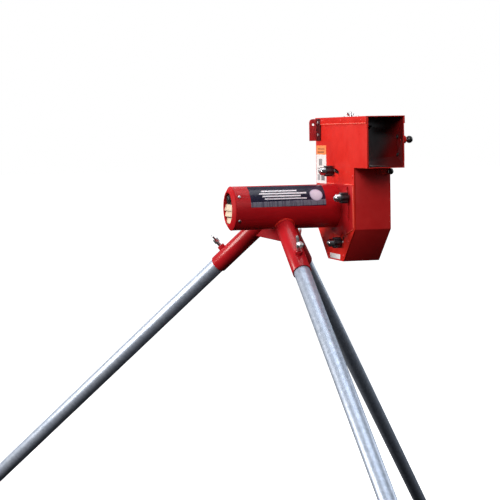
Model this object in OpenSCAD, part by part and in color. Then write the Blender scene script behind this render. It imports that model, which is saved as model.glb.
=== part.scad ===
// Single-wheel ball pitching machine on a three-legged stand.
// Z is up. X runs along the motor tube, from its control end (-X) to the wheel
// head (+X). The ball leaves towards -Y. The origin lies on the floor, under
// the tube, midway between the front foot and the two rear feet.

/* [Stand] */
// Height of the motor tube's axis above the floor
axis_h = 1200; // [1150:10:1250]
// Lean of every leg from the vertical, in degrees
leg_lean = 52.3; // [51.8:0.1:52.8]
// Turn of the two rear legs from the X axis, in degrees
rear_turn = 53.2; // [52:0.2:54]
// Outside radius of a leg tube
leg_r = 21.08; // [20.6:0.02:21.1]
// Wall of a leg tube
leg_wall = 2.6; // [2:0.2:3.2]
// Outside radius of a leg socket
socket_r = 24.15; // [24:0.05:25]
// Reach of a socket from the tube's axis, along the leg
socket_reach = 254; // [250:1:260]
// Distance of a clamp bolt from the tube's axis, along the leg
clamp_at = 213; // [208:1:218]

/* [Motor tube] */
// Outside radius of the motor tube
tube_r = 57.15; // [57.1:0.01:57.16]
// Wall of the motor tube
tube_wall = 3.2; // [3:0.05:3.3]
// Control end of the tube
tube_x0 = -127.5; // [-130:0.5:-126]
// Radius of the speed dial
dial_r = 10.5; // [9:0.5:11]

/* [Head] */
// Outer face of the head's side plate
head_x = 157.2; // [157:0.1:157.4]
// Overall width of the head
head_w = 99.5; // [98:0.5:101]
// Half length of the wheel guard
guard_y = 152; // [150:1:154]
// Height of the guard's lower fold above the axis
fold_z = -57; // [-60:1:-55]
// Height of the guard's bottom above the axis
guard_z = -144.2; // [-146:0.2:-143]
// Half length of the guard's bottom
guard_by = 62; // [60:1:64]
// Height of the ball duct's floor above the axis
duct_z0 = 104; // [103:0.5:105]
// Height of the duct's top above the axis
duct_z1 = 232.3; // [230:0.1:234]
// Mouth end of the duct
mouth_y = -252; // [-256:1:-246]

/* [Wheel] */
// Radius of the tyre
tyre_r = 127; // [125:0.5:128]
// Width of the tyre
tyre_w = 60; // [56:1:64]

/* [Knobs] */
// Radius of a star knob over its lobes
knob_r = 15.6; // [15:0.1:16]
// Length of a star knob
knob_l = 36; // [34:1:38]

/* [Hidden] */

$fn = 64;
tube_ri = tube_r - tube_wall;
plate_t = 4;
sheet_t = 2.5;
x1 = head_x + plate_t;             // inner face of the side plate
xo = head_x + head_w;              // outer face of the guard and duct
xi = xo - sheet_t;
xc = (x1 + xi) / 2;                // middle of the ball path
flange_x = x1 + 1;                 // head side face of the tube's flange
flange_t = 6;
leg_at = [7.4, 25.9, -1.9];        // point where the three legs' axes meet, from the tube's axis
floor_r = (axis_h + leg_at[2]) * tan(leg_lean);  // where a leg's axis meets the floor
foot_r = 26;
foot_a = foot_r / cos(leg_lean);
y_front = floor_r + foot_a;
y_rear = floor_r * sin(rear_turn) + sqrt(pow(foot_a * sin(rear_turn), 2) + pow(foot_r * cos(rear_turn), 2));
x_off = -leg_at[0];
y_off = (y_front - y_rear) / 2 - leg_at[1];
leg_d0 = 100;                      // upper end of a leg, from the tube's axis
leg_d1 = (axis_h + leg_at[2] - leg_r * sin(leg_lean) - 6) / cos(leg_lean);
az_front = -90;
az_left = 180 - rear_turn;
az_right = rear_turn;
clamp_tilt = 15;                   // turn of a clamp bolt round its leg
tilt_up = 25;
tilt_down = 10;
// angle from +Y towards +Z, and radius, of each tilt lock stud
studs = [[82, 92], [168, 116.5], [243.7, 106]];
stud_r = 5;
knob_gap = 0.5;
red = [0.80, 0.12, 0.12];
steel = [0.62, 0.63, 0.65];
black = [0.07, 0.07, 0.08];
guard_pts = [[-guard_y, duct_z0 - sheet_t], [-guard_y, fold_z], [-guard_by, guard_z], [guard_by, guard_z],
  [guard_y, fold_z], [guard_y, duct_z0 - sheet_t]];

// line through a and b, moved d to its left, met with the next one
function lft(a, b) = let (v = b - a, l = norm(v)) [-v[1] / l, v[0] / l];
function meet(a, b, c, d) = let (n1 = lft(a, b), n2 = lft(b, c), k = n1[0] * n2[1] - n1[1] * n2[0],
  p = n1 * b + d, q = n2 * b + d) [(p * n2[1] - q * n1[1]) / k, (n1[0] * q - n2[0] * p) / k];
function guard_in(d, top) = concat([[-guard_y + d, top]], [for (i = [1 : 4]) meet(guard_pts[i - 1],
  guard_pts[i], guard_pts[i + 1], d)], [[guard_y - d, top]]);

module at_axis() translate([x_off, y_off, axis_h]) children();
module xcyl(x0, l, r, r2 = -1) translate([x0, 0, 0]) rotate([0, 90, 0]) cylinder(h = l, r1 = r, r2 = r2 < 0 ? r : r2);
// a flat sheet whose outline is given in Y and Z
module yz(x0, t) translate([x0, 0, 0]) rotate([90, 0, 90]) linear_extrude(height = t) children();
module leg_frame(az) translate(leg_at) rotate([0, 180 - leg_lean, az]) children();
// the front clamp sits a little higher and leans the other way
function clamp_d(az) = az == az_front ? clamp_at - 5 : clamp_at;
function clamp_t(az) = az == az_front ? -5 : clamp_tilt;
module clamp_frame(az) leg_frame(az) translate([0, 0, clamp_d(az)]) rotate([0, 0, 180 - clamp_t(az)]) rotate([0, 90, 0]) children();
module at_stud(i) translate([0, studs[i][1] * cos(studs[i][0]), studs[i][1] * sin(studs[i][0])]) children();
// curved slot that a tilt lock stud runs in, cut through from x0 over t
module arc_slot(i, x0, t, hw) {
  a0 = studs[i][0] - tilt_down - 2;
  a1 = studs[i][0] + tilt_up + 2;
  r = studs[i][1];
  translate([x0, 0, 0]) rotate([90, 0, 90]) rotate([0, 0, a0])
    rotate_extrude(angle = a1 - a0, $fn = 128) translate([r - hw, 0]) square([2 * hw, t]);
  for (a = [a0, a1]) translate([x0, r * cos(a), r * sin(a)]) rotate([0, 90, 0]) cylinder(h = t, r = hw - 0.15);
}
module hex(h, r) cylinder(h = h, r = r, $fn = 6);

// ---------- stand ----------
module motor_tube() color(red) at_axis() difference() {
  xcyl(tube_x0, flange_x - tube_x0, tube_r, $fn = 128);
  xcyl(tube_x0 - 1, flange_x - tube_x0 + 2, tube_ri, $fn = 128);
  for (s = [-1, 1], a = [-33, 33]) rotate([s * 90 - 90 + a, 0, 0]) translate([tube_x0 + 9.5, 40, 0])
    rotate([-90, 0, 0]) cylinder(h = 30, r = 2.5);
  translate([-92, 40, 0]) rotate([-90, 0, 0]) cylinder(h = 30, r = 9);
}
// half width of each arm; the upper one stays short of the duct floor
function lobe(i) = i == 0 ? 8.4 : 10;
module head_flange() color(steel) at_axis() difference() {
  union() {
    xcyl(flange_x, flange_t, 76, $fn = 96);
    for (i = [0 : 2]) translate([flange_x + 0.5, 0, 0]) rotate([studs[i][0], 0, 0]) translate([0, 60, -lobe(i)])
      cube([flange_t - 1, studs[i][1] + lobe(i) - 60, 2 * lobe(i)]);
  }
  xcyl(flange_x - 1, flange_t + 2, 20);
  for (i = [0 : 2]) at_stud(i) xcyl(flange_x - 1, flange_t + 2, stud_r);
  for (a = [45 : 90 : 315]) rotate([a, 0, 0]) translate([0, 38, 0]) xcyl(flange_x - 1, flange_t + 2, 3);
}
module lock_studs() color(steel) at_axis() for (i = [0 : 2]) at_stud(i) {
  x0 = (i == 1 ? head_x - sheet_t : head_x) - knob_gap - knob_l - 3;
  xcyl(x0 + 1.5, flange_x + flange_t - x0 - 1.5, stud_r);
  xcyl(x0, 1.5, stud_r - 1.2, stud_r);
  xcyl(flange_x + flange_t, 2.5, 8.3);
}
module end_bezel() color(red) at_axis() translate([tube_x0, 0, 0]) rotate([0, 90, 0]) rotate_extrude($fn = 128)
  polygon([[41, -8.6], [44, -9], [46.5, -8.4], [57.2, -1.6], [58, 0], [53.9, 0], [53.9, 17], [51, 17], [51, 0], [41, 0]]);
module end_panel() color(black) at_axis() difference() {
  union() {
    xcyl(tube_x0, 3, 50.8, $fn = 96);
    translate([tube_x0 + 3, -24, 9]) cube([2, 48, 2]);
  }
  translate([0, dial_y, dial_z]) xcyl(tube_x0 - 1, 6, 3.3);
  translate([tube_x0 - 1, 9, 13.5]) cube([6, 12, 19]);
  for (z = [-4.5, -15, -29]) for (y = [-24 : 8 : 16]) translate([tube_x0 - 1, y, z - 2]) cube([6, 6, 4]);
}
// chord of the bezel's opening at height z
function chord(z) = sqrt(40.4 * 40.4 - z * z);
module vent_louvers() color([0.93, 0.88, 0.78]) at_axis() intersection() {
  xcyl(tube_x0 - 8, 8, 40.4, $fn = 96);
  for (z = [[10.5, -6], [-8, -21], [-24.5, -38.5]]) translate([0, 45, 0]) rotate([90, 0, 0]) linear_extrude(height = 90)
    polygon([[tube_x0, z[0]], [tube_x0 - 2.2, z[0]], [tube_x0 - 6.2, z[1] + 3], [tube_x0 - 6.2, z[1]], [tube_x0 - 4.6, z[1]],
      [tube_x0 - 1.8, z[1] + 4.2], [tube_x0, z[1] + 4.2]]);
}
module bezel_screws() color(steel) at_axis() for (s = [-1, 1], a = [-33, 33]) rotate([s * 90 - 90 + a, 0, 0])
  translate([tube_x0 + 9.5, 0, 0]) rotate([-90, 0, 0]) difference() {
    union() {
      translate([0, 0, 51]) cylinder(h = tube_r - 51, r = 2.5);
      translate([0, 0, tube_r]) cylinder(h = 2.2, r1 = 4.6, r2 = 3.4);
    }
    translate([-0.6, -5, tube_r + 1.2]) cube([1.2, 10, 3]);
  }
module cord_gland() color(black) at_axis() translate([-92, 0, 0]) rotate([-90, 0, 0]) difference() {
  union() {
    translate([0, 0, 48]) cylinder(h = 14, r = 9);
    translate([0, 0, 58.5]) hex(9, 14);
    translate([0, 0, 67.5]) cylinder(h = 9, r1 = 11, r2 = 7.5);
    translate([0, 0, 48]) hex(4.4, 12);
  }
  translate([0, 0, 47]) cylinder(h = 31, r = 3.8);
}
// printed strip wrapped on the near side of the tube
module side_decal() color([0.08, 0.08, 0.16]) at_axis() translate([-89, 0, 0]) rotate([90, 0, 90])
  rotate([0, 0, 105.5]) rotate_extrude(angle = 70.5, $fn = 160) translate([tube_r, 0]) square([0.4, 203]);
module leg_sockets() color(red) at_axis() for (az = [az_front, az_left, az_right]) difference() {
  leg_frame(az) translate([0, 0, 20]) cylinder(h = socket_reach - 20, r = socket_r, $fn = 96);
  leg_frame(az) translate([0, 0, 10]) cylinder(h = socket_reach, r = leg_r + 0.4, $fn = 96);
  xcyl(tube_x0, flange_x - tube_x0, tube_r, $fn = 128);
  clamp_frame(az) cylinder(h = 40, r = 5.06);
}
module clamp_bosses() color(red) at_axis() for (az = [az_front, az_left, az_right]) difference() {
  clamp_frame(az) translate([0, 0, 18]) hex(15, 11);
  leg_frame(az) cylinder(h = socket_reach, r = socket_r, $fn = 96);
  clamp_frame(az) cylinder(h = 40, r = 5.06);
}
// flat web in the plane of two legs, d1 and d2 along each
function dir(az) = [sin(leg_lean) * cos(az), sin(leg_lean) * sin(az), -cos(leg_lean)];
module web(az1, az2, d1, d2) {
  a = dir(az1); b = dir(az2);
  m = (a + b) / norm(a + b);
  n = cross(a, b) / norm(cross(a, b));
  s = cross(n, m);
  h = acos(a * m);
  translate(leg_at) multmatrix([[m[0], s[0], n[0], 0], [m[1], s[1], n[1], 0], [m[2], s[2], n[2], 0], [0, 0, 0, 1]])
    translate([0, 0, -2.5]) linear_extrude(height = 5)
      polygon([[20 * cos(h), 20 * sin(h)], [20 * cos(h), -20 * sin(h)], [d1 * cos(h), -d1 * sin(h)], [d2 * cos(h), d2 * sin(h)]]);
}
module socket_gussets() color(red) at_axis() difference() {
  union() {
    web(az_front, az_left, 145, 120);
    web(az_front, az_right, 145, 120);
    web(az_left, az_right, 118, 118);
  }
  xcyl(tube_x0, flange_x - tube_x0, tube_r, $fn = 128);
  for (az = [az_front, az_left, az_right]) leg_frame(az) cylinder(h = socket_reach, r = socket_r, $fn = 96);
}
module leg(az) color(steel) at_axis() leg_frame(az) difference() {
  translate([0, 0, leg_d0]) cylinder(h = leg_d1 - leg_d0, r = leg_r, $fn = 96);
  translate([0, 0, leg_d0 - 1]) cylinder(h = leg_d1 - leg_d0 + 2, r = leg_r - leg_wall, $fn = 96);
}
module leg_front() leg(az_front);
module leg_left() leg(az_left);
module leg_right() leg(az_right);
module foot(az) color(black) difference() {
  at_axis() leg_frame(az) difference() {
    union() {
      translate([0, 0, leg_d1 - 48]) cylinder(h = 130, r = foot_r, $fn = 96);
      translate([0, 0, leg_d1 - 52]) cylinder(h = 4, r1 = foot_r - 2, r2 = foot_r, $fn = 96);
      for (k = [-38, -26]) translate([0, 0, leg_d1 + k]) cylinder(h = 5, r = foot_r + 1.2, $fn = 96);
    }
    translate([0, 0, leg_d1 - 60]) cylinder(h = 60, r = leg_r + 0.05, $fn = 96);
  }
  translate([-2000, -2000, -400]) cube([4000, 4000, 400]);
}
module foot_front() foot(az_front);
module foot_left() foot(az_left);
module foot_right() foot(az_right);
module clamp_bolt(az, turn) color(steel) at_axis() clamp_frame(az) {
  translate([0, 0, leg_r + 0.37]) cylinder(h = 26, r = 5);
  translate([0, 0, 44]) cylinder(h = 12, r = 7.5);
  rotate([0, 0, turn]) rotate([90, 0, 0]) translate([0, 0, -2.2]) linear_extrude(height = 4.4)
    polygon([[-5, 45], [5, 45], [13, 50], [19.5, 62], [19, 67], [14.5, 69], [9, 64], [5, 57], [-5, 57], [-9, 64], [-14.5, 69],
      [-19, 67], [-19.5, 62], [-13, 50]]);
}
module clamp_bolt_front() clamp_bolt(az_front, 12);
module clamp_bolt_left() clamp_bolt(az_left, 121.5);
module clamp_bolt_right() clamp_bolt(az_right, 40);

// ---------- controls ----------
dial_y = -14;
dial_z = 23.5;
module speed_dial() color(black) at_axis() translate([0, dial_y, dial_z]) difference() {
  union() {
    xcyl(tube_x0 - 3.6, 3.2, dial_r);
    xcyl(tube_x0 - 13, 9.4, dial_r - 2.2, dial_r - 1);
    for (a = [0 : 30 : 330]) rotate([a, 0, 0]) translate([tube_x0 - 12, dial_r - 2.2, -1]) cube([8.5, 1.4, 2]);
    xcyl(tube_x0 - 3.6, 10.6, 3.24);
  }
  translate([tube_x0 - 14, 2, -0.7]) cube([1.6, 7, 1.4]);
}
module power_switch() color(black) at_axis() translate([tube_x0 - 0.5, 15, 23]) rotate([90, 0, 0])
  translate([0, 0, -5.5]) linear_extrude(height = 11) polygon([[3.5, -6], [3.5, 6], [0, 9], [-3.6, 9], [-1, 0], [-2.4, -9], [0, -9]]);
module speed_controller() color([0.18, 0.35, 0.2]) at_axis() {
  translate([tube_x0 + 5, -24, 9]) cube([48, 48, 1.8]);
  translate([tube_x0 + 10, -20, 10.8]) cube([26, 18, 14]);
  translate([tube_x0 + 16, 6, 10.8]) cylinder(h = 16, r = 8);
  for (i = [0 : 4]) translate([tube_x0 + 12 + i * 6, -20, -8]) cube([2, 40, 15]);
  translate([tube_x0 + 10, -20, 7]) cube([30, 40, 2]);
}
module star(x0, l) {
  difference() {
    union() {
      xcyl(x0 + l - 5, 5, 8);
      xcyl(x0 + 14, l - 17.2, knob_r - 3.4);
      translate([x0 + 2, 0, 0]) rotate([0, 90, 0]) hex(13, 10.4);
      xcyl(x0, 3, 7.2, 8.7);
      for (k = [0 : 5]) rotate([k * 60, 0, 0]) translate([0, knob_r - 4.4, 0]) {
        xcyl(x0 + 15.2, l - 19.6, 4.4);
        xcyl(x0 + 14, 1.2, 3.6, 4.4);
        xcyl(x0 + l - 4.4, 1.2, 4.4, 3.6);
      }
    }
    xcyl(x0 - 1, l + 2, stud_r + 0.06);
  }
}
module lock_knob(i) color(black) at_axis() at_stud(i) star((i == 1 ? head_x - sheet_t : head_x) - knob_gap - knob_l, knob_l);
module lock_knob_upper() lock_knob(0);
module lock_knob_side() lock_knob(1);
module lock_knob_lower() lock_knob(2);

// ---------- motor and wheel ----------
module motor_can() color([0.2, 0.2, 0.22]) at_axis() difference() {
  xcyl(10, flange_x - 10, 50.8, $fn = 96);
  xcyl(9, flange_x - 19, 46, $fn = 96);
  xcyl(100, 80, 8);
  for (a = [45 : 90 : 315]) rotate([a, 0, 0]) translate([0, 38, 0]) xcyl(100, 80, 3);
}
module motor_magnets() color([0.3, 0.28, 0.27]) at_axis() for (a = [-60, 120]) rotate([a, 0, 0]) translate([30, 0, 0])
  rotate([90, 0, 90]) rotate_extrude(angle = 120) translate([38, 0]) square([8, 100]);
module motor_end_bell() color(steel) at_axis() difference() {
  union() {
    xcyl(-2, 12, 50.8, $fn = 96);
    xcyl(-12, 10, 20);
  }
  xcyl(-8, 20, 8);
  xcyl(4, 8, 44);
}
module motor_bolts() color(steel) at_axis() for (a = [45 : 90 : 315]) rotate([a, 0, 0]) translate([0, 38, 0]) {
  xcyl(flange_x - 9, 9 + flange_t, 3);
  translate([flange_x + flange_t, 0, 0]) rotate([0, 90, 0]) hex(4, 5.7);
}
module armature() color([0.55, 0.35, 0.2]) at_axis() difference() {
  union() {
    xcyl(34, 92, 36.5);
    xcyl(16, 16, 22);
    xcyl(20, 114, 26);
  }
  xcyl(10, 140, 7.94);
}
module motor_shaft() color(steel) at_axis() {
  xcyl(-7, xi - 10 + 7, 7.94);
}
module wheel_hub() color([0.7, 0.71, 0.73]) at_axis() difference() {
  union() {
    xcyl(xc - 27, 54, 22);
    xcyl(xc - 5, 10, 70);
    translate([xc, 0, 0]) rotate([0, 90, 0]) rotate_extrude($fn = 96)
      polygon([[66, -tyre_w / 2 + 3], [74, -tyre_w / 2 + 3], [74, tyre_w / 2 - 3], [66, tyre_w / 2 - 3]]);
    for (a = [0 : 60 : 300]) rotate([a, 0, 0]) translate([xc - 16, 20, -3]) cube([32, 47, 6]);
  }
  xcyl(xc - 40, 80, 7.94);
  for (a = [30 : 60 : 330]) rotate([a, 0, 0]) translate([0, 45, 0]) xcyl(xc - 10, 20, 11);
}
module tyre() color([0.12, 0.12, 0.12]) at_axis() translate([xc, 0, 0]) rotate([0, 90, 0]) rotate_extrude($fn = 128)
  polygon([[74, -tyre_w / 2 + 4], [78, -tyre_w / 2], [104, -tyre_w / 2], [116, -tyre_w / 2 + 1.5], [122, -tyre_w / 2 + 5],
    [tyre_r - 1, -tyre_w / 2 + 12], [tyre_r, -tyre_w / 2 + 18], [tyre_r, -12], [tyre_r - 2.5, -11], [tyre_r - 2.5, -8], [tyre_r, -7],
    [tyre_r, 7], [tyre_r - 2.5, 8], [tyre_r - 2.5, 11], [tyre_r, 12], [tyre_r, tyre_w / 2 - 18], [tyre_r - 1, tyre_w / 2 - 12],
    [122, tyre_w / 2 - 5], [116, tyre_w / 2 - 1.5], [104, tyre_w / 2], [78, tyre_w / 2], [74, tyre_w / 2 - 4]]);
module hub_nut() color(steel) at_axis() difference() {
  union() {
    xcyl(xc + 27, 2, 15);
    translate([xc + 29, 0, 0]) rotate([0, 90, 0]) hex(7, 12.8);
  }
  xcyl(xc, 60, 7.94);
}

// ---------- head ----------
module side_plate() color(red) at_axis() difference() {
  yz(head_x, plate_t) polygon([[mouth_y, duct_z0 - sheet_t], [mouth_y, duct_z1 - sheet_t], [guard_y, duct_z1 - sheet_t],
    [guard_y, fold_z], [guard_by, guard_z], [-guard_by, guard_z], [-guard_y, fold_z], [-guard_y, duct_z0 - sheet_t]]);
  xcyl(head_x - 1, plate_t + 2, tube_r + 0.06, $fn = 128);
  for (i = [0 : 2]) arc_slot(i, head_x - 1, plate_t + 2, stud_r + 0.5);
}
module pivot_doubler() color(red) at_axis() difference() {
  yz(head_x - sheet_t, sheet_t) polygon([[-148, 57], [62, 57], [62, -30], [40, -62], [13, -69], [-27, -79], [-67, -77], [-148, -55]]);
  xcyl(head_x - 5, 10, tube_r + 0.06, $fn = 128);
  arc_slot(1, head_x - 5, 10, stud_r + 0.5);
  arc_slot(2, head_x - 5, 10, 14);
}
module wheel_guard() color(red) at_axis() difference() {
  union() {
    difference() {
      yz(x1, xo - x1) polygon(guard_pts);
      yz(x1 - 1, xi - x1 + 1) polygon(guard_in(sheet_t, duct_z0 + 5));
    }
    difference() {
      yz(x1, 2) polygon(guard_pts);
      yz(x1 - 1, 4) polygon(guard_in(19, duct_z0 + 5));
    }
  }
  translate([x1 - 1, -200, duct_z0 - sheet_t]) cube([200, 400, 50]);
  for (p = rivets) translate([0, p[0], p[1]]) xcyl(x1 - 1, 5, 2.2);
}
rivets = [[-142, 78], [-104, -90], [-63, -130], [63, -130], [104, -90], [142, -30], [142, 40]];
module guard_rivets() color(red) at_axis() {
  for (p = rivets) translate([0, p[0], p[1]]) {
    xcyl(head_x, plate_t + 3.2, 2.2);
    xcyl(head_x - 1.6, 1.6, 2.6, 4.4);
    xcyl(x1 + 2, 1.4, 3.8);
  }
  for (p = [[-140, -16], [140, -16], [-60, -130], [60, -130]]) translate([0, p[0], p[1]]) xcyl(xo, 1.8, 4.4, 2.8);
}
module ball_duct() color(red) at_axis() difference() {
  union() {
    translate([x1, mouth_y, duct_z0 - sheet_t]) cube([xo - x1, guard_y - mouth_y, sheet_t]);
    translate([xi, mouth_y, duct_z0]) cube([sheet_t, guard_y - mouth_y, duct_z1 - sheet_t - duct_z0]);
  }
  translate([xc - tyre_w / 2 - 4, -88, duct_z0 - 5]) cube([tyre_w + 8, 176, 10]);
  translate([0, -234, 172]) xcyl(xi - 1, 6, 4.06);
  for (z = [134, 179]) translate([0, -210, z]) xcyl(xi - 1, 6, 3);
}
module duct_lid() color(red) at_axis() difference() {
  union() {
    translate([head_x - 2, mouth_y, duct_z1 - sheet_t]) cube([head_w + 4, guard_y - mouth_y, sheet_t]);
    translate([head_x - 2, mouth_y, duct_z1 - 18]) cube([2, 106 - mouth_y, 18]);
    translate([xo, mouth_y, duct_z1 - 18]) cube([2, guard_y - mouth_y, 18]);
  }
  translate([xc, pad_y, 0]) for (dy = [-55, 55]) translate([0, dy, duct_z1 - 10]) cylinder(h = 20, r = 4.06);
  translate([xc, pad_y, duct_z1 - 10]) cylinder(h = 20, r = 4.5);
}
lid_ys = [-215, -60, 80];
module lid_screws() color(steel) at_axis() for (y = lid_ys) translate([0, y, duct_z1 - 11]) {
  xcyl(head_x - 2, 7, 2);
  xcyl(head_x - 3.8, 1.8, 2.4, 3.8);
  xcyl(xi - 1, 1 + sheet_t + 2, 2);
  xcyl(xo + 2, 1.8, 3.8, 2.4);
}
pad_y = 10;
pad_low = tyre_r + 62;
module pad_plate() color(steel) at_axis() difference() {
  translate([xc - 31, pad_y - 78, pad_low + 17]) cube([62, 156, 3]);
  for (dy = [-55, 0, 55]) translate([xc, pad_y + dy, pad_low + 10]) cylinder(h = 20, r = 4);
}
module pressure_pad() color([0.16, 0.16, 0.17]) at_axis() translate([xc - 29, pad_y, 0]) rotate([90, 0, 90]) linear_extrude(height = 58)
  polygon([[-74, pad_low + 17], [-74, pad_low + 13], [-42, pad_low + 3], [-16, pad_low], [16, pad_low], [42, pad_low + 3], [74, pad_low + 13],
    [74, pad_low + 17]]);
module pad_studs() color(steel) at_axis() translate([xc, pad_y, 0]) {
  translate([0, 0, pad_low + 17]) cylinder(h = duct_z1 + 14 - pad_low - 17, r = 4);
  for (dy = [-55, 55]) translate([0, dy, pad_low + 17]) cylinder(h = duct_z1 + 3 - pad_low - 17, r = 4);
  translate([0, 0, pad_low + 20]) difference() {
    hex(6, 7.5);
    translate([0, 0, -1]) cylinder(h = 8, r = 3.9);
  }
}
module pad_wing_nut() color(steel) at_axis() translate([xc, pad_y, duct_z1 + 0.5]) difference() {
  union() {
    cylinder(h = 6, r1 = 7.5, r2 = 6);
    rotate([90, 0, 25]) translate([0, 0, -1.6]) linear_extrude(height = 3.2)
      polygon([[-5, 1], [5, 1], [9, 3], [14, 8.5], [13.5, 11], [10.5, 11.5], [6, 6], [-6, 6], [-10.5, 11.5], [-13.5, 11], [-14, 8.5], [-9, 3]]);
  }
  translate([0, 0, -1]) cylinder(h = 20, r = 4.06);
}
module feed_bracket() color([0.55, 0.1, 0.12]) at_axis() difference() {
  union() {
    translate([head_x - 3, 107, duct_z1 - 62]) cube([3, 33, 59.2]);
    translate([0, 140, 0]) rotate([90, 0, 0]) linear_extrude(height = 3) polygon(concat([[head_x, duct_z1 - 62], [head_x, duct_z1 - 2.8]],
      [for (a = [90 : 15 : 180]) [head_x - 13 + 10 * cos(a), duct_z1 - 12.8 + 10 * sin(a)]], [[head_x - 23, duct_z1 - 62]]));
  }
  translate([head_x - 12, 150, duct_z1 - 18]) rotate([90, 0, 0]) cylinder(h = 20, r = 3.3);
  for (z = [-14, -46]) translate([0, 121, duct_z1 + z]) xcyl(head_x - 5, 8, 2.5);
}
module feed_bracket_screws() color(steel) at_axis() for (z = [-14, -46]) translate([0, 121, duct_z1 + z]) {
  xcyl(head_x - 3, 3 + plate_t, 2.5);
  translate([head_x - 6, 0, 0]) rotate([0, 90, 0]) hex(3, 4.6);
}
module warning_label() color([0.95, 0.93, 0.92]) at_axis() translate([head_x - 0.4, 66, 56]) cube([0.4, 82, 102]);
module rating_plate() color([0.8, 0.8, 0.82]) at_axis() translate([head_x - 0.6, -38, guard_z + 4]) cube([0.6, 82, 13]);
module plunger_plate() color(red) at_axis() difference() {
  union() {
    translate([xo, -246, 118]) cube([sheet_t, 50, 76]);
    translate([0, -234, 172]) xcyl(xo + sheet_t, 6.5, 10.5, 9.5);
  }
  translate([0, -234, 172]) xcyl(xo - 1, 20, 4.06);
  for (z = [134, 179]) translate([0, -210, z]) xcyl(xo - 1, 5, 3);
}
module plunger_plate_bolts() color(steel) at_axis() for (z = [134, 179]) translate([0, -210, z]) {
  xcyl(xi, sheet_t * 2 + 5, 3);
  xcyl(xi - 2, 2, 3.4, 6);
  translate([xo + sheet_t, 0, 0]) rotate([0, 90, 0]) hex(4, 5.6);
}
module plunger_pin() color(steel) at_axis() translate([0, -234, 172]) xcyl(xi + 0.5, xo + 24 - xi - 0.5, 4);
// profile of a ball knob of radius r, flattened at its neck, with a blind bore of radius b
function ball_pts(r, b) = concat([[b, -r + 2], [b, r - 5], [0, r - 5], [0, r]],
  [for (a = [80 : -10 : -50]) [r * cos(a), r * sin(a)]], [[r * 0.5, -r + 2]]);
module ball_knob(r, b) rotate_extrude($fn = 64) polygon(ball_pts(r, b));
module plunger_ball() color(black) at_axis() translate([xo + 20, -234, 172]) rotate([0, 90, 0]) ball_knob(9.2, 4);
module latch_pivot() color(steel) at_axis() translate([224, -guard_y, 91]) rotate([90, 0, 0]) {
  cylinder(h = 6.3, r = 4);
  translate([0, 0, 6.3]) cylinder(h = 1.8, r1 = 6.5, r2 = 5);
}
module latch_lever() color(red) at_axis() difference() {
  union() {
    translate([224, -guard_y - 3, 91]) rotate([90, 0, 0]) cylinder(h = 3, r = 7);
    translate([224, -guard_y - 6, 84]) cube([28, 3, 14]);
    translate([252, -guard_y - 3, 91]) rotate([90, 0, 0]) cylinder(h = 3, r = 7);
    translate([252, -guard_y - 5, 91]) rotate([90, 0, 0]) cylinder(h = 9, r = 3);
  }
  translate([224, -guard_y, 91]) rotate([90, 0, 0]) cylinder(h = 20, r = 4.06);
}
module latch_ball() color(black) at_axis() translate([252, -guard_y - 12.4, 91]) rotate([90, 0, 0]) ball_knob(8.2, 3);

motor_tube();
head_flange();
end_bezel();
end_panel();
vent_louvers();
bezel_screws();
cord_gland();
side_decal();
leg_sockets();
socket_gussets();
clamp_bosses();
lock_studs();
motor_can();
motor_magnets();
motor_end_bell();
motor_bolts();
speed_controller();
armature();
motor_shaft();
wheel_hub();
tyre();
hub_nut();
leg_front();
leg_left();
leg_right();
foot_front();
foot_left();
foot_right();
clamp_bolt_front();
clamp_bolt_left();
clamp_bolt_right();
speed_dial();
power_switch();
lock_knob_upper();
lock_knob_side();
lock_knob_lower();
side_plate();
pivot_doubler();
wheel_guard();
guard_rivets();
ball_duct();
duct_lid();
lid_screws();
pad_plate();
pressure_pad();
pad_studs();
pad_wing_nut();
feed_bracket();
feed_bracket_screws();
warning_label();
rating_plate();
plunger_plate();
plunger_plate_bolts();
plunger_pin();
plunger_ball();
latch_pivot();
latch_lever();
latch_ball();
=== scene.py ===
import bpy, bmesh, math, random
from mathutils import Matrix, Vector, noise

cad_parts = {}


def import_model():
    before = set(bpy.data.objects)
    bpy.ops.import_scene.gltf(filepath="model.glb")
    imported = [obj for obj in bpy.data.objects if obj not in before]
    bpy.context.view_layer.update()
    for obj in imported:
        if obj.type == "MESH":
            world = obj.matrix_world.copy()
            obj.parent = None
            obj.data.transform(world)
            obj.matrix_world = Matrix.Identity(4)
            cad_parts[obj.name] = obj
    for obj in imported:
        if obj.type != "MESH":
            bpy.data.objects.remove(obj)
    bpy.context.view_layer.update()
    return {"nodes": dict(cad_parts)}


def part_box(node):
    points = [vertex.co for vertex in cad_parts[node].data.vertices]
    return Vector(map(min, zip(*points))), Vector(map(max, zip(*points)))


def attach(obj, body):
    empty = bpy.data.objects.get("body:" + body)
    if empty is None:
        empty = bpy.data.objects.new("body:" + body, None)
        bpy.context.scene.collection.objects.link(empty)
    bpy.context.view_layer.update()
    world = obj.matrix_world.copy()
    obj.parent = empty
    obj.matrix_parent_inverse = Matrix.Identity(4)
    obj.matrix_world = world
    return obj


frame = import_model()
N = frame["nodes"]
scene = bpy.context.scene

# ---------------------------------------------------------------- layout, metres
_lo, _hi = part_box("motor_tube")
AXIS_H = (_lo[2] + _hi[2]) / 2
Y_OFF = (_lo[1] + _hi[1]) / 2
X_OFF = _lo[0] + 0.1275
APEX = Vector((X_OFF, Y_OFF, AXIS_H))
LEGS_AT = Vector((0.0074, 0.0259, -0.0019))
TUBE_R = 0.05715
HEAD_X = 0.1572
XO = 0.2567
XI = 0.2542
LEAN = math.radians(52.3)
TURN = math.radians(53.2)
AZ = {"front": -math.pi / 2, "left": math.pi - TURN, "right": TURN}


def at(x, y, z):
    return Vector((x + X_OFF, y + Y_OFF, z + AXIS_H))


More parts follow.
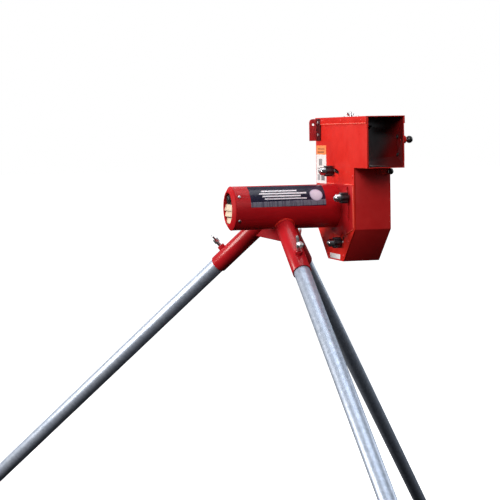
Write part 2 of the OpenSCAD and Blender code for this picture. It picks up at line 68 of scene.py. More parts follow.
def legdir(a):
    return Vector((math.sin(LEAN) * math.cos(a), math.sin(LEAN) * math.sin(a), -math.cos(LEAN)))


# ---------------------------------------------------------------- camera
def set_camera():
    th, p, rho = (math.radians(v) for v in (15.96, 4.06, 0.98))
    f, dist = 1650.0, 4.31539
    fw = Vector((math.sin(th) * math.cos(p), math.cos(th) * math.cos(p), -math.sin(p)))
    right = Vector((math.cos(th), -math.sin(th), 0.0))
    up = right.cross(fw)
    r2 = right * math.cos(rho) - up * math.sin(rho)
    u2 = right * math.sin(rho) + up * math.cos(rho)
    ox, oy = (277.5 - 249.5) / f * dist, (206.7 - 249.5) / f * dist
    loc = APEX - fw * dist - r2 * ox + u2 * oy
    cam = bpy.data.objects.new("camera", bpy.data.cameras.new("camera"))
    scene.collection.objects.link(cam)
    m = Matrix((r2, u2, -fw)).transposed().to_4x4()
    m.translation = loc
    cam.matrix_world = m
    cam.data.lens = f / 500 * 36
    cam.data.sensor_width = 36
    cam.data.clip_start, cam.data.clip_end = 0.1, 60
    scene.camera = cam
    return cam


cam = set_camera()


# ---------------------------------------------------------------- node helpers
class Mat:
    def __init__(self, name, color=(0.5, 0.5, 0.5), rough=0.4, metal=0.0, **kw):
        self.m = bpy.data.materials.new(name)
        self.m.use_nodes = True
        self.t = self.m.node_tree
        self.b = self.t.nodes["Principled BSDF"]
        self.b.inputs["Base Color"].default_value = (*color, 1)
        self.b.inputs["Roughness"].default_value = rough
        self.b.inputs["Metallic"].default_value = metal
        for k, v in kw.items():
            self.b.inputs[k.replace("_", " ")].default_value = v
        self.m.diffuse_color = (*color, 1)

    def n(self, kind, **kw):
        node = self.t.nodes.new(kind)
        for k, v in kw.items():
            if k.startswith("i_"):
                node.inputs[k[2:].replace("_", " ")].default_value = v
            else:
                setattr(node, k, v)
        return node

    def link(self, a, b):
        self.t.links.new(a, b)

    def obj(self):
        return self.n("ShaderNodeTexCoord").outputs["Object"]

    def mapped(self, scale=(1, 1, 1), loc=(0, 0, 0), rot=(0, 0, 0)):
        mp = self.n("ShaderNodeMapping")
        mp.inputs["Scale"].default_value = scale
        mp.inputs["Location"].default_value = loc
        mp.inputs["Rotation"].default_value = rot
        self.link(self.obj(), mp.inputs["Vector"])
        return mp.outputs["Vector"]

    def noise(self, vec, scale, detail=4, rough=0.55, dist=0.0):
        x = self.n("ShaderNodeTexNoise")
        x.inputs["Scale"].default_value = scale
        x.inputs["Detail"].default_value = detail
        x.inputs["Roughness"].default_value = rough
        x.inputs["Distortion"].default_value = dist
        self.link(vec, x.inputs["Vector"])
        return x.outputs["Fac"]

    def voronoi(self, vec, scale, feature="F1"):
        x = self.n("ShaderNodeTexVoronoi", feature=feature)
        x.inputs["Scale"].default_value = scale
        self.link(vec, x.inputs["Vector"])
        return x

    def ramp(self, fac, stops, interp="LINEAR"):
        r = self.n("ShaderNodeValToRGB")
        r.color_ramp.interpolation = interp
        el = r.color_ramp.elements
        while len(el) > 1:
            el.remove(el[-1])
        el[0].position = stops[0][0]
        el[0].color = self._c(stops[0][1])
        for pos, c in stops[1:]:
            e = el.new(pos)
            e.color = self._c(c)
        self.link(fac, r.inputs["Fac"])
        return r.outputs["Color"]

    @staticmethod
    def _c(c):
        return (c, c, c, 1) if isinstance(c, (int, float)) else (*c, 1)

    def math(self, op, a, b=None, clamp=False):
        x = self.n("ShaderNodeMath", operation=op, use_clamp=clamp)
        for i, v in enumerate((a, b)):
            if v is None:
                continue
            if isinstance(v, (int, float)):
                x.inputs[i].default_value = v
            else:
                self.link(v, x.inputs[i])
        return x.outputs[0]

    def mix(self, fac, a, b, blend="MIX"):
        x = self.n("ShaderNodeMix", data_type="RGBA", blend_type=blend)
        for sock, v in ((x.inputs[0], fac), (x.inputs[6], a), (x.inputs[7], b)):
            if isinstance(v, (int, float)):
                sock.default_value = v
            elif isinstance(v, tuple):
                sock.default_value = (*v, 1)
            else:
                self.link(v, sock)
        return x.outputs[2]

    def bump(self, height, strength=0.2, distance=0.001, normal=None):
        x = self.n("ShaderNodeBump")
        x.inputs["Strength"].default_value = strength
        x.inputs["Distance"].default_value = distance
        self.link(height, x.inputs["Height"])
        if normal is not None:
            self.link(normal, x.inputs["Normal"])
        return x.outputs["Normal"]

    def xyz(self, vec=None):
        s = self.n("ShaderNodeSeparateXYZ")
        self.link(vec or self.obj(), s.inputs[0])
        return s.outputs

    def edge(self, radius=0.0012):
        """How much the surface bends here, near its edges: 0 on a flat, towards 1 on an edge."""
        bv = self.n("ShaderNodeBevel")
        bv.samples = 3
        bv.inputs["Radius"].default_value = radius
        g = self.n("ShaderNodeNewGeometry")
        d = self.n("ShaderNodeVectorMath", operation="DOT_PRODUCT")
        self.link(bv.outputs[0], d.inputs[0])
        self.link(g.outputs["Normal"], d.inputs[1])
        return self.math("SUBTRACT", 1.0, d.outputs["Value"], clamp=True)

    def set(self, name, out):
        self.link(out, self.b.inputs[name])


# ---------------------------------------------------------------- materials
def paint(name, base, dark, light, rough=0.30, seed=0.0, chips=True, duct_shade=False, coat=0.05, spec=0.22):
    m = Mat(name, base, rough)
    m.b.inputs["Coat Weight"].default_value = coat
    m.b.inputs["Coat Roughness"].default_value = 0.08
    m.b.inputs["Specular IOR Level"].default_value = spec
    v = m.mapped(loc=(seed, seed * 0.7, seed * 0.3))
    big = m.noise(v, 5.0, 3)
    mid = m.noise(v, 38.0, 5, 0.6)
    fac = m.math("ADD", m.math("MULTIPLY", big, 0.6), m.math("MULTIPLY", mid, 0.4))
    col = m.ramp(fac, [(0.32, dark), (0.52, base), (0.72, light)])
    dust = m.ramp(m.noise(v, 9.0, 8, 0.72, 0.6), [(0.52, 0.0), (0.78, 1.0)])
    col = m.mix(m.math("MULTIPLY", dust, 0.02), col, (0.62, 0.40, 0.36))
    if chips:
        e = m.edge(0.0011)
        rag = m.noise(v, 260.0, 3, 0.7)
        wear = m.math("MULTIPLY", m.ramp(e, [(0.03, 0.0), (0.16, 1.0)]), m.ramp(rag, [(0.50, 0.0), (0.60, 1.0)]))
        col = m.mix(m.math("MULTIPLY", wear, 0.55), col, (0.22, 0.05, 0.045))
    if duct_shade:                                  # inside of the duct: painted shade, mottled like rubber scuffs
        x, y, z = m.xyz()
        x = m.math("SUBTRACT", x, X_OFF)
        z = m.math("SUBTRACT", z, AXIS_H)
        inside = m.math("MULTIPLY",
                        m.math("MULTIPLY", m.math("GREATER_THAN", x, 0.1610), m.math("LESS_THAN", x, 0.2545)),
                        m.math("MULTIPLY", m.math("GREATER_THAN", z, 0.1036), m.math("LESS_THAN", z, 0.2300)))
        duct_shade_and_scuff = m.ramp(m.noise(m.mapped(scale=(10, 1.2, 10)), 7.0, 6, 0.7), [(0.3, (0.05, 0.006, 0.006)), (0.6, (0.10, 0.008, 0.008)), (0.8, (0.18, 0.012, 0.012))])
        # painted light: the far inner wall (x above 0.2530) is painted a lighter red than the rest of the shaded
        # inside
        outer = m.math("MULTIPLY", inside, m.math("GREATER_THAN", x, 0.2530))
        col = m.mix(inside, col, duct_shade_and_scuff)
        col = m.mix(m.math("MULTIPLY", outer, 0.6), col, (0.42, 0.012, 0.012))
    m.set("Base Color", col)
    scr = m.noise(m.mapped(scale=(14, 140, 60), loc=(seed, 0, 0), rot=(0.4, 0.2, 0.9)), 6.0, 4, 0.6)
    r = m.ramp(m.math("ADD", m.math("MULTIPLY", mid, 0.6), m.math("MULTIPLY", scr, 0.4)), [(0.3, rough - 0.05), (0.7, rough + 0.12)])
    m.set("Roughness", m.math("ADD", r, m.math("MULTIPLY", dust, 0.06)))
    peel = m.noise(v, 420.0, 2, 0.5)
    n1 = m.bump(peel, 0.10, 0.0006)
    sheet = m.noise(v, 7.0, 2, 0.4)
    m.set("Normal", m.bump(sheet, 0.10, 0.004, n1))
    flow = m.noise(v, 260.0, 2, 0.5)
    m.set("Coat Normal", m.bump(flow, 0.05, 0.0006))
    return m


def metal(name, base, rough, streak=(1, 1, 1), blotch=0.10, dirt=(0.2, 0.19, 0.18), seed=0.0, metal_=1.0):
    m = Mat(name, base, rough, metal_)
    v = m.mapped(loc=(seed, seed, seed))
    a = m.noise(v, 30.0, 6, 0.65)
    b = m.noise(m.mapped(scale=streak), 90.0, 4, 0.6)
    lo = tuple(c * (1 - blotch) for c in base)
    hi = tuple(min(1, c * (1 + blotch)) for c in base)
    col = m.ramp(m.math("ADD", m.math("MULTIPLY", a, 0.55), m.math("MULTIPLY", b, 0.45)), [(0.3, lo), (0.7, hi)])
    grime = m.ramp(m.noise(v, 14.0, 8, 0.75, 0.5), [(0.56, 0.0), (0.80, 1.0)])
    col = m.mix(m.math("MULTIPLY", grime, 0.30), col, dirt)
    m.set("Base Color", col)
    r = m.ramp(b, [(0.25, max(0.05, rough - 0.08)), (0.75, rough + 0.10)])
    m.set("Roughness", m.math("ADD", r, m.math("MULTIPLY", grime, 0.18)))
    m.set("Normal", m.bump(b, 0.10, 0.0003, m.bump(a, 0.08, 0.0008)))
    return m


def spangle(name):
    """Galvanised tube: faint crystal flakes, small dark spots and a dull bloom."""
    m = Mat(name, (0.60, 0.62, 0.65), 0.4, 0.55)
    v = m.mapped()
    vo = m.voronoi(v, 120.0)
    flake = m.ramp(vo.outputs["Color"], [(0.2, (0.38, 0.45, 0.56)), (0.5, (0.43, 0.50, 0.62)), (0.8, (0.48, 0.55, 0.67))])
    bloom = m.noise(v, 7.0, 8, 0.7, 0.4)
    col = m.mix(m.math("MULTIPLY", m.ramp(bloom, [(0.42, 0.0), (0.68, 1.0)]), 0.30), flake, (0.38, 0.42, 0.44))
    spots = m.ramp(m.noise(v, 60.0, 6, 0.8), [(0.68, 0.0), (0.76, 1.0)])
    col = m.mix(m.math("MULTIPLY", spots, 0.25), col, (0.28, 0.28, 0.27))
    m.set("Base Color", col)
    m.set("Roughness", m.ramp(m.math("ADD", m.math("MULTIPLY", bloom, 0.6), m.math("MULTIPLY", vo.outputs["Distance"], 0.4)), [(0.2, 0.34), (0.75, 0.50)]))
    m.set("Normal", m.bump(m.noise(v, 170.0, 4, 0.6), 0.06, 0.0004, m.bump(bloom, 0.08, 0.002)))
    return m


def plastic(name, base, rough=0.42, grain=900.0, strength=0.18, light=(0.12, 0.12, 0.125), edge_wear=0.5, spec=0.5):
    m = Mat(name, base, rough)
    m.b.inputs["Specular IOR Level"].default_value = spec
    v = m.mapped()
    a = m.noise(v, 42.0, 5, 0.6)
    g = m.noise(v, grain, 3, 0.6)
    col = m.ramp(a, [(0.3, tuple(c * 0.8 for c in base)), (0.7, tuple(min(1, c * 1.25 + 0.004) for c in base))])
    e = m.edge(0.0009)
    col = m.mix(m.math("MULTIPLY", m.ramp(e, [(0.03, 0.0), (0.25, 1.0)]), edge_wear), col, light)
    dust = m.ramp(m.noise(v, 18.0, 8, 0.75, 0.5), [(0.55, 0.0), (0.8, 1.0)])
    col = m.mix(m.math("MULTIPLY", dust, 0.12), col, tuple(min(1, c * 1.1 + 0.12) for c in base))
    m.set("Base Color", col)
    m.set("Roughness", m.math("ADD", m.ramp(a, [(0.3, rough - 0.06), (0.7, rough + 0.08)]), m.math("MULTIPLY", dust, 0.15)))
    m.set("Normal", m.bump(g, strength, 0.0003))
    return m


def rubber(name, base=(0.025, 0.025, 0.026), rough=0.62):
    m = Mat(name, base, rough)
    v = m.mapped()
    a = m.noise(v, 24.0, 7, 0.7, 0.3)
    g = m.noise(v, 700.0, 3, 0.6)
    col = m.ramp(a, [(0.30, tuple(c * 0.7 for c in base)), (0.60, base), (0.80, (0.085, 0.08, 0.072))])
    m.set("Base Color", col)
    m.set("Roughness", m.ramp(a, [(0.3, rough - 0.08), (0.75, rough + 0.16)]))
    m.set("Normal", m.bump(g, 0.25, 0.0004, m.bump(a, 0.15, 0.0015)))
    return m


def star_knob(name, x_split):
    """Black moulded knob whose outer end is a bright metal insert."""
    m = plastic(name, (0.010, 0.009, 0.012), rough=0.26, strength=0.06, light=(0.10, 0.10, 0.11), spec=0.6)
    x, y, z = m.xyz()
    ins = m.math("LESS_THAN", x, x_split + X_OFF)
    v = m.mapped()
    body = m.b.inputs["Base Color"].links[0].from_socket
    steel = m.ramp(m.noise(v, 160.0, 5, 0.6), [(0.3, (0.62, 0.62, 0.64)), (0.7, (0.82, 0.82, 0.84))])
    m.set("Base Color", m.mix(ins, body, steel))
    m.set("Metallic", ins)
    rough = m.b.inputs["Roughness"].links[0].from_socket
    m.set("Roughness", m.math("ADD", m.math("MULTIPLY", rough, m.math("SUBTRACT", 1.0, m.math("MULTIPLY", ins, 0.5))), 0.02))
    return m


# RED also carries painted shade on the inside of the duct (duct_shade)
RED = paint("red_powder_coat", (0.70, 0.022, 0.014), (0.63, 0.015, 0.010), (0.77, 0.034, 0.020), duct_shade=True)
RED_TUBE = paint("red_powder_coat_tube", (0.50, 0.010, 0.015), (0.44, 0.007, 0.012), (0.56, 0.014, 0.018), rough=0.33, seed=3.1, coat=0.02, spec=0.13)
# end bezel: a darker copy of the red paint, painted shade that dims its rim
RED_BEZEL_SHADED = paint("red_powder_coat_bezel_painted_shade", (0.47, 0.009, 0.014), (0.41, 0.007, 0.011), (0.53, 0.013, 0.017), rough=0.46, seed=8.3, coat=0.0, spec=0.06)
RED_STAND = paint("red_powder_coat_stand", (0.46, 0.010, 0.016), (0.40, 0.007, 0.012), (0.52, 0.014, 0.020), rough=0.27, seed=4.3, coat=0.10, spec=0.20)
# wheel guard: a slightly darker copy of the red paint, painted shade for its dimmer near face
RED_GUARD_SHADED = paint("red_powder_coat_guard_painted_shade", (0.68, 0.022, 0.022), (0.61, 0.016, 0.016), (0.75, 0.032, 0.030), seed=1.4)
# latch lever: a brighter copy of the red paint, painted light so it reads bright inside the duct's shadow
RED_LEVER_LIT = paint("red_powder_coat_lever_painted_light", (0.93, 0.060, 0.040), (0.88, 0.050, 0.034), (0.96, 0.075, 0.050), seed=2.2)
# socket gussets: a darker copy of the red paint, painted shade from the tube and sockets above
RED_WEB_SHADED = paint("red_powder_coat_web_painted_shade", (0.33, 0.008, 0.013), (0.28, 0.006, 0.010), (0.38, 0.011, 0.016), rough=0.36, seed=6.1, coat=0.02, spec=0.12)
# pivot doubler: a darker copy of the red paint, painted shade
RED_DOUBLER_SHADED = paint("red_powder_coat_doubler_painted_shade", (0.54, 0.015, 0.019), (0.47, 0.010, 0.014), (0.60, 0.022, 0.022), seed=7.7)
# edge beads: a much lighter copy of the red paint, painted highlight along hems and seams
HEM_HIGHLIGHT = paint("red_powder_coat_edge_painted_highlight", (0.85, 0.10, 0.06), (0.74, 0.06, 0.04), (0.92, 0.16, 0.10), rough=0.24, seed=9.2)
# feed bracket: a darker copy of the red paint, painted shade for the bracket's dim faces
RED_BRACKET_SHADED = paint("dark_red_paint", (0.52, 0.030, 0.036), (0.45, 0.022, 0.027), (0.60, 0.040, 0.044), rough=0.34, seed=5.0)
_bx = RED_BRACKET_SHADED.xyz()[0]
# painted shadow: the bracket's flange against the side plate (x above 0.1538) is painted near black
_bracket_shadow_mask = RED_BRACKET_SHADED.math("GREATER_THAN", _bx, 0.1538 + X_OFF)
RED_BRACKET_SHADED.set("Base Color", RED_BRACKET_SHADED.mix(_bracket_shadow_mask, RED_BRACKET_SHADED.b.inputs["Base Color"].links[0].from_socket, (0.055, 0.004, 0.006)))
KNOB_A = star_knob("star_knob", 0.1346)
KNOB_B = star_knob("star_knob_side", 0.1321)
ZINC = metal("bright_zinc", (0.60, 0.61, 0.62), 0.30, (30, 30, 4))
GROUND = metal("ground_steel", (0.58, 0.59, 0.61), 0.22, (90, 6, 6))
ALLOY = metal("cast_alloy", (0.55, 0.56, 0.58), 0.46, (8, 8, 8), 0.14)
FERRITE = metal("ferrite", (0.09, 0.09, 0.10), 0.6, metal_=0.3)
GALV = spangle("galvanised_tube")
BLACK = plastic("black_grained_plastic", (0.012, 0.012, 0.013))
KNOB = plastic("black_moulded_knob", (0.010, 0.010, 0.011), rough=0.28, strength=0.08, light=(0.10, 0.10, 0.11), spec=0.6)
CREAM = plastic("cream_plastic", (0.74, 0.62, 0.47), rough=0.38, light=(0.9, 0.84, 0.74), edge_wear=0.4)
PCB = plastic("circuit_board", (0.02, 0.10, 0.04), rough=0.35)
MOTOR = plastic("motor_enamel", (0.015, 0.015, 0.017), rough=0.34, grain=500.0, strength=0.25)
COPPER = metal("varnished_copper", (0.60, 0.28, 0.14), 0.3, (4, 60, 60), 0.2)
TYRE = rubber("tyre_rubber", (0.020, 0.020, 0.021), 0.68)
RUBBER = rubber("black_rubber", (0.022, 0.022, 0.023), 0.56)
FOIL = metal("silver_foil", (0.82, 0.82, 0.84), 0.40, (4, 90, 90), 0.05, metal_=0.15)


def decal_material():
    """Dark film on the near side of the tube: a pale disc, grey bands and plain slanted bars."""
    m = Mat("tube_decal", (0.02, 0.02, 0.05), 0.30)
    m.b.inputs["Coat Weight"].default_value = 0.06
    m.b.inputs["Coat Roughness"].default_value = 0.08
    m.b.inputs["Specular IOR Level"].default_value = 0.25
    x, y, z = m.xyz()
    x = m.math("SUBTRACT", x, X_OFF)
    dy = m.math("SUBTRACT", Y_OFF, y)           # towards the near side
    dz = m.math("SUBTRACT", z, AXIS_H)
    ang = m.math("ARCTAN2", dz, dy)
    arc = m.math("MULTIPLY", ang, TUBE_R)        # metres up the wrap from the near horizontal
    v = m.mapped()
    base = m.ramp(m.noise(v, 30.0, 5), [(0.3, (0.008, 0.008, 0.026)), (0.7, (0.020, 0.016, 0.045))])
    # grey bands along the lower edge
    band = m.math("SUBTRACT", arc, m.math("MULTIPLY", x, 0.018))
    inband = m.math("MULTIPLY", m.math("GREATER_THAN", band, 0.0045), m.math("LESS_THAN", band, 0.0185))
    fine = m.math("GREATER_THAN", m.math("FRACT", m.math("MULTIPLY", band, 330.0)), 0.42)
    broken = m.math("GREATER_THAN", m.noise(m.mapped(scale=(1, 0.02, 0.02)), 320.0, 2), 0.44)
    dash = m.math("MULTIPLY", fine, broken)
    gband = m.mix(m.math("MULTIPLY", dash, 0.5), (0.10, 0.10, 0.14), (0.36, 0.36, 0.42))
    col = m.mix(inband, base, gband)
    # slanted plain bars
    u = m.math("SUBTRACT", x, m.math("MULTIPLY", arc, 0.35))
    def slab(u0, u1, a0, a1):
        return m.math("MULTIPLY",
                      m.math("MULTIPLY", m.math("GREATER_THAN", u, u0), m.math("LESS_THAN", u, u1)),
                      m.math("MULTIPLY", m.math("GREATER_THAN", arc, a0), m.math("LESS_THAN", arc, a1)))
    for (u0, u1, a0, a1, g) in BARS:
        col = m.mix(slab(u0, u1, a0, a1), col, g)
    # pale disc
    dx = m.math("SUBTRACT", x, 0.0895)
    da = m.math("SUBTRACT", arc, 0.0345)
    rr = m.math("SQRT", m.math("ADD", m.math("MULTIPLY", dx, dx), m.math("MULTIPLY", da, da)))
    disc = m.math("LESS_THAN", rr, 0.0172)
    shade = m.ramp(m.math("DIVIDE", rr, 0.0172), [(0.0, (0.80, 0.76, 0.86)), (0.7, (0.70, 0.66, 0.78)), (1.0, (0.50, 0.46, 0.60))])
    col = m.mix(disc, col, shade)
    m.set("Base Color", col)
    m.set("Roughness", m.ramp(m.noise(v, 60.0, 4), [(0.3, 0.18), (0.7, 0.34)]))
    m.set("Normal", m.bump(m.noise(v, 160.0, 3), 0.06, 0.0005))
    return m


BARS = [(-0.074, 0.022, 0.0470, 0.0520, (0.86, 0.86, 0.90)), (-0.078, 0.050, 0.0385, 0.0430, (0.88, 0.88, 0.92)),
        (-0.068, 0.036, 0.0305, 0.0348, (0.84, 0.84, 0.88)), (-0.060, 0.054, 0.0232, 0.0268, (0.78, 0.78, 0.83))]
DECAL = decal_material()


def label_material():
    """Printed film: an orange band over a white field with plain grey blocks."""
    m = Mat("printed_label", (0.85, 0.84, 0.83), 0.35)
    x, y, z = m.xyz()
    dy = m.math("SUBTRACT", y, Y_OFF)
    dz = m.math("SUBTRACT", z, AXIS_H)
    v = m.mapped()
    white = m.ramp(m.noise(v, 40.0, 4), [(0.3, (0.80, 0.79, 0.80)), (0.7, (0.88, 0.87, 0.87))])
    orange = m.ramp(m.noise(v, 40.0, 4), [(0.3, (0.86, 0.26, 0.08)), (0.7, (0.95, 0.33, 0.12))])
    col = m.mix(m.math("GREATER_THAN", dz, 0.1335), white, orange)

    def blk(y0, y1, z0, z1, c, col):
        k = m.math("MULTIPLY",
                   m.math("MULTIPLY", m.math("GREATER_THAN", dy, y0), m.math("LESS_THAN", dy, y1)),
                   m.math("MULTIPLY", m.math("GREATER_THAN", dz, z0), m.math("LESS_THAN", dz, z1)))
        return m.mix(k, col, c)
    col = blk(0.082, 0.138, 0.138, 0.142, (0.35, 0.12, 0.05), col)
    col = blk(0.080, 0.136, 0.147, 0.150, (0.35, 0.12, 0.05), col)
    for y0, y1, z0, z1, g in LABEL_BLOCKS:
        col = blk(y0, y1, z0, z1, (g, g, g * 1.06), col)
    m.set("Base Color", col)
    m.set("Roughness", m.ramp(m.noise(v, 70.0, 4), [(0.3, 0.28), (0.7, 0.45)]))
    m.set("Normal", m.bump(m.noise(v, 120.0, 3), 0.06, 0.0005))
    return m


LABEL_BLOCKS = [(0.100, 0.128, 0.104, 0.122, 0.30), (0.074, 0.140, 0.094, 0.098, 0.45), (0.074, 0.118, 0.086, 0.090, 0.45),
                (0.080, 0.110, 0.064, 0.080, 0.22), (0.118, 0.140, 0.064, 0.080, 0.40)]
LABEL = label_material()

# ---------------------------------------------------------------- put materials on the CAD nodes
BY_NODE = {
    "motor_tube": RED_TUBE, "end_bezel": RED_BEZEL_SHADED, "leg_sockets": RED_STAND, "socket_gussets": RED_WEB_SHADED, "clamp_bosses": RED_STAND,
    "side_plate": RED, "pivot_doubler": RED_DOUBLER_SHADED, "wheel_guard": RED_GUARD_SHADED, "guard_rivets": RED_GUARD_SHADED, "ball_duct": RED, "duct_lid": RED, "lid_screws": RED,
    "plunger_plate": RED, "latch_lever": RED_LEVER_LIT, "feed_bracket": RED_BRACKET_SHADED,
    "head_flange": ZINC, "bezel_screws": ZINC, "lock_studs": ZINC, "motor_bolts": ZINC, "hub_nut": ZINC, "clamp_bolt_front": ZINC,
    "clamp_bolt_left": ZINC, "clamp_bolt_right": ZINC, "pad_plate": ZINC, "pad_studs": ZINC, "pad_wing_nut": ZINC,
    "feed_bracket_screws": ZINC, "plunger_plate_bolts": ZINC, "latch_pivot": RED, "motor_shaft": GROUND, "plunger_pin": GROUND,
    "wheel_hub": ALLOY, "motor_end_bell": ALLOY, "motor_can": MOTOR, "motor_magnets": FERRITE, "armature": COPPER,
    "speed_controller": PCB, "end_panel": BLACK, "cord_gland": BLACK, "speed_dial": KNOB, "power_switch": BLACK,
    "lock_knob_upper": KNOB_A, "lock_knob_side": KNOB_B, "lock_knob_lower": KNOB_A, "plunger_ball": KNOB, "latch_ball": KNOB,
    "vent_louvers": CREAM, "tyre": TYRE, "pressure_pad": RUBBER, "foot_front": RUBBER, "foot_left": RUBBER, "foot_right": RUBBER,
    "leg_front": GALV, "leg_left": GALV, "leg_right": GALV, "side_decal": DECAL, "warning_label": LABEL, "rating_plate": FOIL,
}
BEVEL = {  # edge radius in metres; 0 leaves the node as it is
    "side_decal": 0, "warning_label": 0, "rating_plate": 0.0002, "motor_tube": 0.0006, "end_bezel": 0.0005, "side_plate": 0.0009,
    "pivot_doubler": 0.0007, "wheel_guard": 0.0016, "ball_duct": 0.0009, "duct_lid": 0.0010, "lock_knob_upper": 0.0010,
    "lock_knob_side": 0.0010, "lock_knob_lower": 0.0010, "tyre": 0.0008, "leg_sockets": 0.0007, "socket_gussets": 0.0010,
}
for name, o in N.items():
    o.data.materials.clear()
    o.data.materials.append(BY_NODE[name].m)
    w = BEVEL.get(name, 0.0005)
    weld = o.modifiers.new("weld", "WELD")
    weld.merge_threshold = 1e-6
    if w:
        bv = o.modifiers.new("bevel", "BEVEL")
        bv.width = w
        bv.segments = 2
        bv.limit_method = "ANGLE"
        bv.angle_limit = math.radians(32)
        bv.use_clamp_overlap = True
        bv.harden_normals = False
    for p in o.data.polygons:
        p.use_smooth = True
    es = o.modifiers.new("smooth", "EDGE_SPLIT")
    es.split_angle = math.radians(40)

# ---------------------------------------------------------------- weld beads
def bead(name, pts, r, body, closed=False, seed=1, coat=None):
    """Rippled weld along a line of points."""
    rnd = random.Random(seed)
    fine = []
    n = len(pts)
    seg = n if closed else n - 1
    for i in range(seg):
        a, b = pts[i], pts[(i + 1) % n]
        k = max(1, int((b - a).length / 0.0007))
        for j in range(k):
            fine.append(a.lerp(b, j / k))
    if not closed:
        fine.append(pts[-1])
    bm = bmesh.new()
    rings = []
    run = 0.0
    cnt = len(fine)
    pitch = 0.0026
    for i, p in enumerate(fine):
        q0 = fine[i - 1] if (i or closed) else p
        q1 = fine[(i + 1) % cnt] if (i < cnt - 1 or closed) else p
        t = (q1 - q0).normalized()
        if i:
            run += (p - fine[i - 1]).length
        u = t.orthogonal().normalized() if abs(t.x) > 0.97 else t.cross(Vector((1, 0, 0))).normalized()
        w = t.cross(u)
        ph = (run / pitch) % 1.0
        rr = r * (0.82 + 0.22 * math.sqrt(1 - ph) + rnd.uniform(-0.03, 0.03))
        if not closed:
            rr *= min(1.0, 0.45 + min(i, cnt - 1 - i) * 0.12)
        rings.append([bm.verts.new(p + (u * math.cos(a) + w * math.sin(a)) * rr) for a in (2 * math.pi * j / 10 for j in range(10))])
    m = len(rings)
    for i in range(m if closed else m - 1):
        A, B = rings[i], rings[(i + 1) % m]
        for j in range(10):
            bm.faces.new((A[j], A[(j + 1) % 10], B[(j + 1) % 10], B[j]))
    if not closed:
        bm.faces.new(list(reversed(rings[0])))
        bm.faces.new(rings[-1])
    bmesh.ops.recalc_face_normals(bm, faces=bm.faces)
    me = bpy.data.meshes.new(name)
    bm.to_mesh(me)
    bm.free()
    for p in me.polygons:
        p.use_smooth = True
    o = bpy.data.objects.new(name, me)
    scene.collection.objects.link(o)
    me.materials.append((coat or RED).m)
    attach(o, body)
    return o


def saddle(a):
    """Line where a leg socket meets the tube."""
    d = legdir(a)
    e1 = Vector((-math.sin(a), math.cos(a), 0))
    e2 = d.cross(e1)
    out = []
    for i in range(72):
        f = 2 * math.pi * i / 72
        o = LEGS_AT + (e1 * math.cos(f) + e2 * math.sin(f)) * 0.0246
        A = d.y ** 2 + d.z ** 2
        B = 2 * (o.y * d.y + o.z * d.z)
        C = o.y ** 2 + o.z ** 2 - 0.0576 ** 2
        t = (-B + math.sqrt(B * B - 4 * A * C)) / (2 * A)
        q = o + d * t
        out.append(at(q.x, q.y, q.z))
    return out


for i, (k, a) in enumerate(AZ.items()):
    bead("weld_socket_" + k, saddle(a), 0.0024, "stand", closed=True, seed=10 + i)
# doubler weld beads, including the one along the near edge, are coloured with painted highlight (HEM_HIGHLIGHT)
XW = HEAD_X - 0.0012
for i, line in enumerate(([(0.060, 0.0576), (-0.002, 0.0576)], [(-0.075, 0.0576), (-0.141, 0.0576)],
                          [(0.013, -0.0696), (-0.027, -0.0796), (-0.044, -0.0788)], [(-0.084, -0.0730), (-0.146, -0.0561)], [(-0.1478, 0.0560), (-0.1478, -0.0540)])):
    bead("weld_doubler_%d" % i, [at(XW, y, z) for y, z in line], 0.0017, "head", seed=20 + i, coat=HEM_HIGHLIGHT)

def hem(name, pts, r, body, mat):
    """Smooth rolled edge along a line of points."""
    bm = bmesh.new()
    rings = []
    for i, p in enumerate(pts):
        t = (pts[min(i + 1, len(pts) - 1)] - pts[max(i - 1, 0)]).normalized()
        u = t.cross(Vector((1, 0, 0))).normalized()
        w = t.cross(u)
        k = 0.35 if i in (0, len(pts) - 1) else 1.0
        rings.append([bm.verts.new(p + (u * math.cos(a) + w * math.sin(a)) * r * k) for a in (2 * math.pi * j / 16 for j in range(16))])
    for A, B in zip(rings, rings[1:]):
        for j in range(16):
            bm.faces.new((A[j], A[(j + 1) % 16], B[(j + 1) % 16], B[j]))
    bm.faces.new(list(reversed(rings[0])))
    bm.faces.new(rings[-1])
    bmesh.ops.recalc_face_normals(bm, faces=bm.faces)
    me = bpy.data.meshes.new(name)
    bm.to_mesh(me)
    bm.free()
    for p in me.polygons:
        p.use_smooth = True
    o = bpy.data.objects.new(name, me)
    scene.collection.objects.link(o)
    me.materials.append(mat.m)
    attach(o, body)
    return o


def line(a, b, step=0.01):
    n = max(2, int((b - a).length / step))
    end = (b - a).normalized() * 0.0006
    return [a, a + end] + [a.lerp(b, i / n) for i in range(1, n)] + [b - end, b]


# lid hems: rolled edges coloured with painted highlight (HEM_HIGHLIGHT)
hem("lid_hem_near", line(at(HEAD_X - 0.0018, -0.2516, 0.2145), at(HEAD_X - 0.0018, 0.1056, 0.2145)), 0.0013, "head", HEM_HIGHLIGHT)
hem("lid_hem_far", line(at(XO + 0.0018, -0.2516, 0.2145), at(XO + 0.0018, 0.1516, 0.2145)), 0.0013, "head", HEM_HIGHLIGHT)

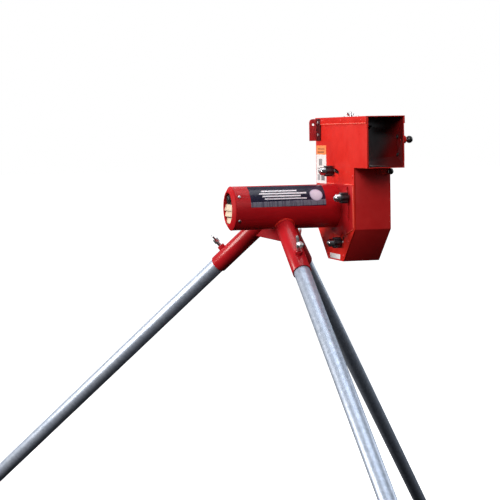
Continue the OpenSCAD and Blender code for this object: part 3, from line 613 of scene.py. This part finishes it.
# ---------------------------------------------------------------- stage and light
def studio_floor():
    bm = bmesh.new()
    rings = []
    for r in (0.6, 1.5, 3.0, 6.0, 12.0, 30.0, 90.0, 260.0):
        rings.append([bm.verts.new((r * math.cos(2 * math.pi * i / 64), r * math.sin(2 * math.pi * i / 64), 0)) for i in range(64)])
    bm.faces.new(rings[0])
    for A, B in zip(rings, rings[1:]):
        for i in range(64):
            bm.faces.new((A[i], B[i], B[(i + 1) % 64], A[(i + 1) % 64]))
    me = bpy.data.meshes.new("studio_floor")
    bm.to_mesh(me)
    bm.free()
    o = bpy.data.objects.new("studio_floor", me)
    scene.collection.objects.link(o)
    m = bpy.data.materials.new("floor_paper")
    m.use_nodes = True
    b = m.node_tree.nodes["Principled BSDF"]
    b.inputs["Base Color"].default_value = (0.9, 0.9, 0.9, 1)
    b.inputs["Roughness"].default_value = 0.95
    b.inputs["Specular IOR Level"].default_value = 0.1
    b.inputs["Emission Color"].default_value = (1, 1, 1, 1)
    b.inputs["Emission Strength"].default_value = 0.85
    me.materials.append(m)
    o.visible_glossy = False
    o.visible_diffuse = False
    return o


studio_floor()


def world():
    w = bpy.data.worlds.new("studio")
    scene.world = w
    w.use_nodes = True
    t = w.node_tree
    bg = t.nodes["Background"]
    tc = t.nodes.new("ShaderNodeTexCoord")
    sp = t.nodes.new("ShaderNodeSeparateXYZ")
    t.links.new(tc.outputs["Generated"], sp.inputs[0])
    r = t.nodes.new("ShaderNodeValToRGB")
    el = r.color_ramp.elements
    el[0].position, el[0].color = 0.0, (0.02, 0.02, 0.022, 1)
    el[1].position, el[1].color = 1.0, (0.95, 0.98, 1.0, 1)
    for pos, c in ((0.42, (0.05, 0.05, 0.05, 1)), (0.50, (0.16, 0.16, 0.17, 1)), (0.58, (0.42, 0.44, 0.47, 1)), (0.75, (0.70, 0.73, 0.78, 1))):
        e = el.new(pos)
        e.color = c
    mp = t.nodes.new("ShaderNodeMapRange")
    mp.inputs["From Min"].default_value = -1
    mp.inputs["From Max"].default_value = 1
    t.links.new(sp.outputs[2], mp.inputs["Value"])
    t.links.new(mp.outputs[0], r.inputs["Fac"])
    t.links.new(r.outputs["Color"], bg.inputs["Color"])
    bg.inputs["Strength"].default_value = 0.40
    white = t.nodes.new("ShaderNodeBackground")
    white.inputs["Color"].default_value = (1, 1, 1, 1)
    white.inputs["Strength"].default_value = 1.0
    path = t.nodes.new("ShaderNodeLightPath")
    mx = t.nodes.new("ShaderNodeMixShader")
    t.links.new(path.outputs["Is Camera Ray"], mx.inputs[0])
    t.links.new(bg.outputs[0], mx.inputs[1])
    t.links.new(white.outputs[0], mx.inputs[2])
    t.links.new(mx.outputs[0], t.nodes["World Output"].inputs["Surface"])


world()


def area(name, loc, target, size, power, color=(1, 1, 1), size_y=None):
    l = bpy.data.lights.new(name, "AREA")
    l.energy = power
    l.color = color
    l.size = size
    if size_y:
        l.shape = "RECTANGLE"
        l.size_y = size_y
    o = bpy.data.objects.new(name, l)
    scene.collection.objects.link(o)
    o.location = loc
    o.rotation_euler = (Vector(target) - Vector(loc)).to_track_quat("-Z", "Y").to_euler()
    o.visible_camera = False
    return o


C0 = at(0.1, 0.0, 0.0)
area("key_left", C0 + Vector((-3.2, 0.80, 0.30)), C0, 1.3, 108, (1.0, 0.94, 0.88))
area("front_high", C0 + Vector((-1.9, -4.0, 2.3)), C0, 2.0, 96, (1.0, 0.96, 0.96))
area("top_soft", C0 + Vector((-0.2, 0.0, 3.2)), C0, 2.2, 50, (0.93, 0.96, 1.0))
area("rim_back", C0 + Vector((-0.8, 3.0, 2.4)), C0, 2.4, 46, (1.0, 0.98, 0.98))
area("right_fill", C0 + Vector((3.6, 0.8, 0.9)), C0, 2.2, 46, (0.96, 0.98, 1.0))

scene.view_settings.view_transform = "Standard"
scene.view_settings.look = "None"
scene.view_settings.exposure = 0.0
